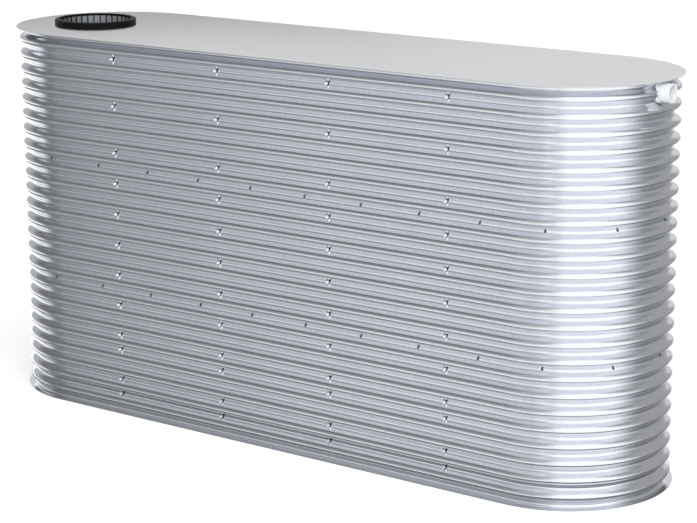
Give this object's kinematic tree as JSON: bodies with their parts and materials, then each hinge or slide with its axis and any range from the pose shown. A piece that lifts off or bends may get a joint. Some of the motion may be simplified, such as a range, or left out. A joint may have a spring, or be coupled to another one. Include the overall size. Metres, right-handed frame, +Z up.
{
  "type": "slimline water tank",
  "caption": "Long narrow corrugated steel rainwater tank with round ends, a leaf strainer in the lid, an end overflow and a low ball valve.",
  "frame": {"origin": "centre of the underside of the base sheet", "axes": "+Z up, +X along the tank towards the overflow's end, -Y out of the front"},
  "size_m": [3.7017, 1.004, 1.878],
  "materials": {
    "wall_sheet": "bright zinc-aluminium coated steel, rolled",
    "end_sheet": "zinc-aluminium coated steel, flat and dull",
    "sealant": "grey silicone",
    "rivet": "dull blind rivet",
    "tie_steel": "stainless, turned",
    "tie_nut": "polished stainless",
    "rubber": "moulded rubber",
    "strainer_plastic": "moulded black plastic",
    "strainer_mesh": "woven stainless mesh",
    "overflow_plastic": "white moulded plastic",
    "brass": "forged and turned",
    "seat_plastic": "waxy white",
    "ball_chrome": "plated and polished",
    "lever_steel": "zinc plated",
    "sleeve_plastic": "dipped vinyl"
  },
  "bodies": {
    "tank": {"base_sheet": "end_sheet", "bottom_strake": "wall_sheet", "middle_strake": "wall_sheet", "top_strake": "wall_sheet", "lid_sheet": "end_sheet", "base_seal": "sealant", "lid_seal": "sealant", "lower_seam_rivets": "rivet", "upper_seam_rivets": "rivet", "tie_rods": "tie_steel", "front_tie_pads": "rubber", "back_tie_pads": "rubber", "front_tie_washers": "tie_steel", "back_tie_washers": "tie_steel", "front_tie_nuts": "tie_nut", "back_tie_nuts": "tie_nut", "strainer_basket": "strainer_plastic", "strainer_mesh": "strainer_mesh", "overflow_stub": "overflow_plastic", "overflow_gasket": "rubber", "overflow_back_nut": "overflow_plastic", "overflow_screen": "strainer_mesh", "outlet_shank": "brass", "outlet_gasket": "rubber", "outlet_back_nut": "brass", "valve_body": "brass", "valve_end": "brass", "valve_seats": "seat_plastic", "gland_nut": "brass"},
    "valve_handle": {"valve_ball": "ball_chrome", "valve_stem": "brass", "valve_lever": "lever_steel", "lever_sleeve": "sleeve_plastic", "lever_nut": "lever_steel"}
  },
  "joints": [
    {"name": "valve_turn", "type": "hinge", "parent": "tank", "child": "valve_handle", "pos_m": [-1.8215, 0, 0.1289], "axis": [0, 0, 1], "range_deg": [0, 90]}
  ]
}
